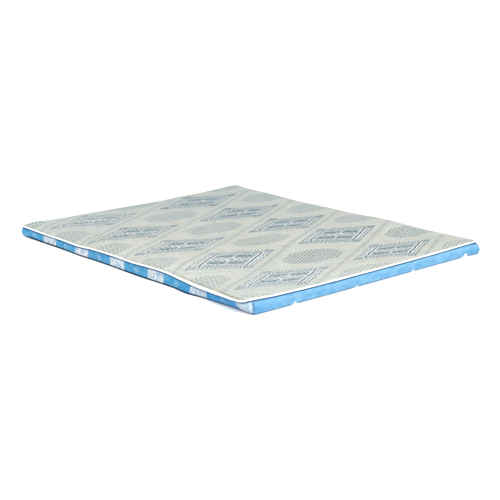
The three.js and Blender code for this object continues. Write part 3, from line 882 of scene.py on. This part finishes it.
def diamond_ink(g, uv, x, y, depth, s, d):
    """Ink, and light threads and painted glints in it: ticks round a dark frame, and worked bands round
    a pale star.
    """
    size_s, size_d = g.abs(s), g.abs(d)
    far, near, sum_size = g.most(size_s, size_d), g.least(size_s, size_d), g.add(size_s, size_d)
    diamond, heart = g.inside(far, 0.388, 0.006), g.inside(far, 0.24, 0.005)
    broken = g.most(g.stripes(s, 0.104, 0.3), g.math("GREATER_THAN", size_s, size_d))
    ticks = g.mul(g.stripes(d, TICK_PITCH, 0.24), broken)
    level_side = g.fade(g.sub(size_s, size_d), -0.02, 0.02)
    border_ground = g.sub(0.22, g.mul(level_side, 0.16))
    border_ink = g.add(border_ground, g.mul(ticks, g.add(0.6, g.mul(level_side, 0.12))))
    border_ink = g.most(border_ink, g.fade(near, 0.284, 0.294, 0.0, 0.74))

    ripple = g.mul(g.math("SINE", g.mul(d, 2 * math.pi / 0.117)), 0.012)
    wavy, counter = g.add(s, ripple), g.sub(s, ripple)
    band = g.mul(g.line(wavy, 0.128, 0.052, 0.010), g.line(d, 0.118, 0.098, 0.012))
    rail = g.mul(g.line(wavy, 0.152, 0.013, 0.006), g.inside(d, 0.218, 0.010))
    hatch = g.stripes(g.add(d, g.mul(s, 0.6)), 0.058, 0.24)
    core = g.inside(sum_size, 0.032, 0.008)
    heart_ink = g.add(0.28, g.add(g.mul(band, 0.42), g.mul(hatch, 0.16)))
    heart_ink = g.most(heart_ink, g.mul(rail, 0.78), g.mul(core, 0.8))
    ink = g.add(g.mul(heart_ink, heart), g.mul(border_ink, g.rest(heart)))

    bar = g.mul(g.inside(d, 0.011, 0.005), g.inside(s, 0.19, 0.01))
    cross = g.most(g.inside(wavy, 0.013, 0.006), bar)
    star = g.line(sum_size, 0.078, 0.016, 0.008)
    curl = g.mul(g.line(counter, 0.083, 0.009, 0.005), g.line(d, 0.13, 0.075, 0.01))
    edging = g.mul(g.line(counter, 0.196, 0.010, 0.005), g.inside(d, 0.225, 0.01))
    light = g.mul(g.most(cross, star, curl, edging), g.rest(core))
    light = g.mul(light, g.mul(heart, 0.7))
    light = rules(g, light, s, d, PALE_RULES)
    gaps = g.mul(g.rest(g.stripes(d, TICK_PITCH, 0.33)), g.line(far, 0.33, 0.045, 0.006))
    # Painted highlight: the pale gaps and the glints brighter towards the near corner
    gaps = g.mul(gaps, g.fade(depth, -0.3, 0.5, 0.55, 0.9))
    glint = g.fade(g.noise(uv, 150.0, 2.0, 0.6), 0.54, 0.64)
    glint = g.mul(glint, g.fade(depth, -0.3, 0.5, 0.55, 0.72))
    light = g.mul(g.most(light, gaps, glint), diamond)

    ink = g.mul(ink, g.rest(g.mul(light, 0.95)))
    # Painted shade: the ink stronger towards the far side
    ink = g.mul(ink, g.fade(depth, -0.8, 0.5, 1.2, 0.98))
    # The ink paler towards the back left corner
    paler_back_left = g.mul(g.fade(x, -0.8, -0.5, 0.3, 0.0), g.fade(y, -0.15, 0.1, 1.0, 0.0))
    ink = g.mul(ink, g.rest(paler_back_left))
    return g.mul(rules(g, ink, s, d, DARK_RULES), diamond), light


def ticking_material():
    """Cream ticking with a woven grey-blue lattice: worked diamonds, lozenges and thin double lines."""
    g = Graph("ticking_lattice", TOP_LIGHT)
    uv, x, y = g.cloth()
    from_front = g.add(y, HALF_Y)
    depth = g.sub(g.mul(x, 0.65), g.mul(y, 0.75))
    s, d, odd = lattice_place(g, uv, x, y)
    ink, light = diamond_ink(g, uv, x, y, depth, s, d)
    whole = g.rest(odd)
    light = g.mul(light, whole)
    ink = g.add(g.mul(ink, whole), g.mul(lozenge_ink(g, x, from_front, s, d), odd))
    ink = rules(g, ink, s, d, TILE_EDGES)

    # Thread that shows through unevenly, slow changes of tone, painted light and shade from the near
    # side to the far one, and painted shade where the top dips beside the tape
    wear, tone = g.noise(uv, 95.0, 3.0, 0.7), g.noise(uv, 2.6, 2.0)
    warmth, fleck = g.noise(uv, 11.0, 3.0, 0.6), g.noise(uv, 190.0, 3.0, 0.6)
    slubs = g.add(g.slubs(x, y, 85 * MM, 9 * MM), g.slubs(y, x, 85 * MM, 9 * MM))
    ink = g.mul(ink, g.fade(wear, 0.3, 0.7, 1.25, 0.62))
    ink = g.mul(ink, g.fade(slubs, 0.7, 1.3, 0.8, 1.25))
    ground = g.tinted((226, 228, 218), [
        (tone, 0.3, 0.7, (215, 219, 211)),
        (warmth, 0.48, 0.7, 0.0, 0.6, (224, 214, 194)),
        (warmth, 0.28, 0.46, 0.6, 0.0, (203, 216, 216)),
        (x, -0.95, 0.1, 0.3, 0.0, (190, 208, 212)),
        (fleck, 0.4, 0.75, 0.0, 0.3, (174, 178, 168)),
        (slubs, 1.0, 1.3, 0.0, 0.35, (168, 174, 166)),
        (slubs, 0.7, 1.0, 0.4, 0.0, (246, 248, 240)),
    ])
    ground = g.mix_color(g.mul(light, 0.95), ground, (250, 254, 253))
    # Painted light and shade: the ink bluer towards the far side, the far side greyed by painted shade,
    # the near side lifted by a painted bluish highlight
    thin_ink = g.mix_color(g.fade(depth, -1.0, 0.3), (128, 165, 181), (139, 161, 169))
    color = g.mix_color(g.fade(ink, 0.0, 0.5), ground, thin_ink)
    color = g.tinted(color, [
        (ink, 0.5, 1.0, (70, 95, 109)),
        (depth, -1.0, 0.9, 0.3, 0.0, (144, 153, 150)),
        (depth, 0.4, 0.9, 0.0, 0.14, (232, 246, 252)),
    ])
    # Painted shade where the top dips to the seam beside the front tape, broken up by noise
    dip_shade = g.mul(g.fade(from_front, 17 * MM, 30 * MM, 1.0, 0.0), g.fade(x, 0.3, 0.62, 0.15, 1.0))
    dip_shade = g.mul(dip_shade, g.fade(g.noise(uv, 30.0, 2.0), 0.3, 0.6, 0.6, 1.0))
    color = g.mix_color(g.mul(dip_shade, 0.75), color, (168, 166, 146))
    relief = g.bump(ink, 0.5 * MM, 0.55)
    return g.finish(color, g.bump(g.weave(x, y, 1.5 * MM), 0.25 * MM, 0.5, relief), 0.82, 0.12)


def seam_shade(g, color, height, fold_shade_color, foot_shade_color, foot):
    """Painted shade: deeper blue in the fold under the tape and at the corner joins, and a dark band
    where the foot turns in.
    """
    fold = g.fade(g.mark("drop"), 5.2 * MM, 9.0 * MM, 0.88, 0.0)
    join = g.fade(g.mark("from_join"), 0.5 * MM, 9.0 * MM, 0.5, 0.0)
    foot_shade = g.fade(height, foot, g.add(foot, 3.2 * MM), 0.95, 0.0)
    return g.mix_color(foot_shade, g.mix_color(g.most(fold, join), color, fold_shade_color), foot_shade_color)


def finish_border(g, uv, x, height, color, rumple_scale):
    """The border cloth's surface: a fine weave on a soft rumple."""
    rumple = g.bump(g.noise(uv, rumple_scale, 3.0), 1.6 * MM, 0.5)
    weave = g.bump(g.weave(x, height, 1.2 * MM), 0.2 * MM, 0.45, rumple)
    return g.finish(color, weave, 0.8, 0.04, 0.03)


def print_material():
    """Blue border cloth with ragged white blocks of small sprigs, and pale arched sprigs between."""
    g = Graph("border_print_cloth", SIDE_LIGHT)
    uv, x, height = g.cloth()
    near = g.from_nearest(g.add(x, g.wobble(uv, 95.0, 0.026, 3.0, 0.6)), BLOCK_X, BLOCK_PITCH)
    bulging = g.add(BLOCK_HALF_WIDTH, g.mul(g.math("SINE", g.mul(height, math.pi / 0.06)), 0.004))
    block = g.fade(g.sub(g.abs(near), bulging), -0.0015, 0.0015, 1.0, 0.0)
    cells = g.node("ShaderNodeTexVoronoi", {"Vector": uv, "Scale": 62.0}, feature="F1")
    petals = g.line(cells.outputs["Distance"], 0.3, 0.13, 0.06)
    petals = g.mul(petals, g.fade(g.noise(uv, 34.0, 1.0), 0.4, 0.55))
    between = g.sub(g.abs(near), BLOCK_PITCH / 2)
    low = g.sub(height, 0.020)
    away = g.math("SQRT", g.add(g.mul(between, between), g.mul(low, low)))
    arch = g.mul(g.line(away, 0.0140, 0.0042, 0.0024), g.fade(low, -0.004, 0.003))
    sprig = g.most(arch, g.inside(away, 0.005, 0.002))
    worn = g.fade(g.noise(uv, 120.0, 2.0), 0.35, 0.55, 0.35, 1.0)

    mottle, nearer = g.noise(uv, 30.0, 3.0), g.fade(x, 0.3, 0.7)
    blue = g.mix_color(g.fade(mottle, 0.3, 0.7), (70, 160, 215), (108, 187, 234))
    blue = g.mix_color(g.mul(g.mul(sprig, worn), 0.7), blue, (190, 216, 240))
    blue = g.mix_color(g.mul(nearer, 0.25), blue, (16, 144, 222))
    white = g.mix_color(g.fade(mottle, 0.35, 0.7), (240, 247, 252), (196, 220, 238))
    white = g.mix_color(g.mul(petals, 0.75), white, (128, 172, 208))
    white = g.mix_color(g.mul(nearer, 0.3), white, (176, 206, 228))
    # Painted shade at the foot: a dark band, taller and darker on the left
    foot_shade = g.fade(x, -0.8, -0.4, 10.4 * MM, 8.2 * MM)
    foot_shade_color = g.mix_color(nearer, (6, 34, 54), (10, 74, 116))
    color = g.mix_color(block, blue, white)
    color = seam_shade(g, color, height, (24, 104, 156), foot_shade_color, foot_shade)
    return finish_border(g, uv, x, height, color, 55.0)


def plain_blue_material():
    """Light blue border cloth, faintly mottled, with white sprig tips that show at the lower edge."""
    g = Graph("border_plain_cloth", SIDE_LIGHT)
    uv, x, height = g.cloth()
    streaks = g.slubs(g.sub(height, g.mul(x, 0.12)), x, 60 * MM, 7 * MM)
    color = g.tinted((118, 184, 230), [
        (g.noise(uv, 22.0, 3.0), 0.3, 0.7, (144, 203, 241)),
        (height, 26 * MM, 50 * MM, 0.0, 0.5, (160, 218, 250)),
        (streaks, 0.5, 0.7, 0.0, 0.6, (104, 180, 234)),
        (streaks, 0.3, 0.5, 0.5, 0.0, (160, 220, 252)),
    ])
    # Painted shade: deeper blue on the strip's ends near the corner joins, less towards the top
    near_join_shade = g.fade(g.mark("from_join"), 20 * MM, 170 * MM, 0.6, 0.0)
    near_join_shade = g.mul(near_join_shade, g.fade(height, 20 * MM, 44 * MM, 1.0, 0.45))
    color = g.mix_color(near_join_shade, color, (100, 170, 222))
    near = g.abs(g.from_nearest(g.add(x, g.wobble(uv, 130.0, 0.014, 3.0, 0.6)), SPRIG_X, SPRIG_PITCH))
    beyond = g.sub(x, SPRIG_MIDDLE)
    tall = g.least(g.add(9 * MM, g.most(g.mul(beyond, 0.026), g.mul(beyond, -0.014))), 24 * MM)
    tip = g.fade(g.sub(tall, g.add(g.mul(near, 0.8), height)), -1 * MM, 1 * MM)
    # Painted shade under the tape, at the joins and at the foot
    color = seam_shade(g, color, height, (30, 108, 164), (20, 96, 150), 3.6 * MM)
    return finish_border(g, uv, x, height, g.mix_color(tip, color, (246, 249, 252)), 48.0)


def tape_material():
    """White ribbed tape, shaded along its lower side except where it opens out."""
    g = Graph("white_tape")
    uv, x, across = g.cloth()
    color = g.tinted((253, 253, 253), [(g.noise(uv, 18.0, 3.0), 0.35, 0.75, (243, 245, 246))])
    along = g.mul(g.sub(x, STRAIGHT_X / 2 + TAPE_FULLNESS[0]), 1 / TAPE_FULLNESS[1])
    plain = g.fade(g.abs(along), 0.3, 1.5)
    under = g.mul(g.fade(across, 4.6 * MM, 8.2 * MM, 0.75, 0.0), plain)
    color = g.mix_color(under, color, (112, 142, 176))
    ribs = g.math("SINE", g.mul(g.add(x, g.mul(across, 0.8)), 2 * math.pi / (1.6 * MM)))
    return g.finish(color, g.bump(ribs, 0.2 * MM, 0.5), 0.75, 0.15)


def thread_material():
    g = Graph("white_thread")
    twist = g.noise(g.place(), 900.0, 1.0)
    color = g.tinted((242, 244, 246), [(twist, 0.3, 0.7, (222, 227, 232))])
    return g.finish(color, g.bump(twist, 0.15 * MM, 0.6), 0.55, 0.1)


def base_cloth_material():
    """Plain woven base cloth, pale grey, faintly mottled."""
    g = Graph("base_cloth_plain")
    uv, x, y = g.cloth()
    color = g.tinted((206, 210, 210), [(g.noise(uv, 12.0, 4.0), 0.3, 0.7, (190, 195, 197))])
    rumple = g.bump(g.noise(uv, 9.0, 3.0), 3.0 * MM, 0.35)
    weave = g.bump(g.weave(x, y, 2.0 * MM), 0.3 * MM, 0.5, rumple)
    return g.finish(color, weave, 0.88, 0.15)


def floor_material():
    g = Graph("studio_floor")
    shade = g.noise(g.place(), 0.8, 1.0)
    color = g.mix_color(shade, (252, 252, 252), (250, 250, 251))
    g.feed(g.shader, {"Emission Color": (1.0, 1.0, 1.0, 1.0), "Emission Strength": FLOOR_GLOW})
    return g.finish(color, g.bump(shade, 0.1 * MM, 0.05), 0.95, 0.0)


# Pieces

def dress(piece, material, slot_name, *nodes):
    piece.data.materials.append(material)
    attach(piece, "root")
    if nodes:
        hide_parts(*nodes)
    return piece


printed, plain = print_material(), plain_blue_material()
white_tape, thread = tape_material(), thread_material()

body = dress(body_piece(), base_cloth_material(), "base_cloth", "filled_body")

ticking = dress(ticking_piece(), ticking_material(), "ticking", "top_panel")

front = strip_piece(
    "printed_border", FRONT_LEFT - PERIMETER, FRONT_RIGHT, end_slant=CORNER_JOIN_ALONG, ease=eased_along,
)
right = strip_piece("plain_border", FRONT_RIGHT, BACK_RIGHT, start_slant=CORNER_JOIN_ALONG)
back = strip_piece("printed_border_back", BACK_RIGHT, BACK_LEFT)
left = strip_piece("plain_border_left", BACK_LEFT, FRONT_LEFT)
for strip, material, slot_name, node, long in (
    (front, printed, "border_print", "border_front", LENGTH),
    (right, plain, "border_plain", "border_right", WIDTH),
    (back, printed, "border_print", "border_back", LENGTH),
    (left, plain, "border_plain", "border_left", WIDTH),
):
    dress(strip, material, slot_name, node)

stitches = dress(stitch_piece(), thread, "tape")
tape = dress(tape_piece(), white_tape, "tape", "tape_edge")


# Floor, light and camera

FLOOR_CORNERS = [(-60, -60, 0), (60, -60, 0), (60, 60, 0), (-60, 60, 0)]
floor = make_object("floor", FLOOR_CORNERS, [(0, 1, 2, 3)], smooth=False)
floor.data.materials.append(floor_material())


def add_light(name, kind, place, power, size, color=(1, 1, 1)):
    """A soft lamp aimed at the middle: a far one with a wide disc, or a panel of width and height."""
    data = bpy.data.lights.new(name, kind)
    data.energy = power
    data.color = color
    if kind == "SUN":
        data.angle = size
    else:
        data.shape = "RECTANGLE"
        data.size, data.size_y = size
    light = bpy.data.objects.new(name, data)
    light.location = place
    light.rotation_mode = "QUATERNION"
    light.rotation_quaternion = (-Vector(place)).to_track_quat("-Z", "Y")
    bpy.context.scene.collection.objects.link(light)


add_light("key", "SUN", (5.0, -2.2, 3.7), 1.9, math.radians(26), (1.0, 0.99, 0.97))
add_light("back_fill", "AREA", (-1.5, 5.0, 2.6), 12, (3.0, 2.0))

world = bpy.data.worlds.new("studio")
bpy.context.scene.world = world
world.use_nodes = True
sky = world.node_tree.nodes["Background"]
sky.inputs["Color"].default_value = (1.0, 1.0, 1.0, 1.0)
sky.inputs["Strength"].default_value = SKY
bpy.context.scene.view_settings.view_transform = "Standard"


# A camera at the photograph's place and direction, framed for its square picture
back_axis = Vector((
    math.sin(CAMERA_AZIMUTH) * math.cos(CAMERA_ELEVATION),
    -math.cos(CAMERA_AZIMUTH) * math.cos(CAMERA_ELEVATION),
    math.sin(CAMERA_ELEVATION),
))
level = Vector((0, 0, 1)).cross(back_axis).normalized()
upright = back_axis.cross(level)
right_axis = math.cos(CAMERA_ROLL) * level + math.sin(CAMERA_ROLL) * upright
up_axis = math.cos(CAMERA_ROLL) * upright - math.sin(CAMERA_ROLL) * level
lens = bpy.data.cameras.new("camera")
lens.sensor_fit = "HORIZONTAL"
lens.sensor_width = SENSOR_WIDTH
lens.lens = FOCAL_PIXELS / PHOTO_SIZE * SENSOR_WIDTH
lens.shift_x = -0.5 / PHOTO_SIZE
lens.shift_y = 0.5 / PHOTO_SIZE
lens.clip_end = 100
camera = bpy.data.objects.new("camera", lens)
turned = Matrix((right_axis, up_axis, back_axis)).transposed().to_4x4()
camera.matrix_world = Matrix.Translation(CAMERA_PLACE) @ turned
bpy.context.scene.collection.objects.link(camera)
bpy.context.scene.camera = camera
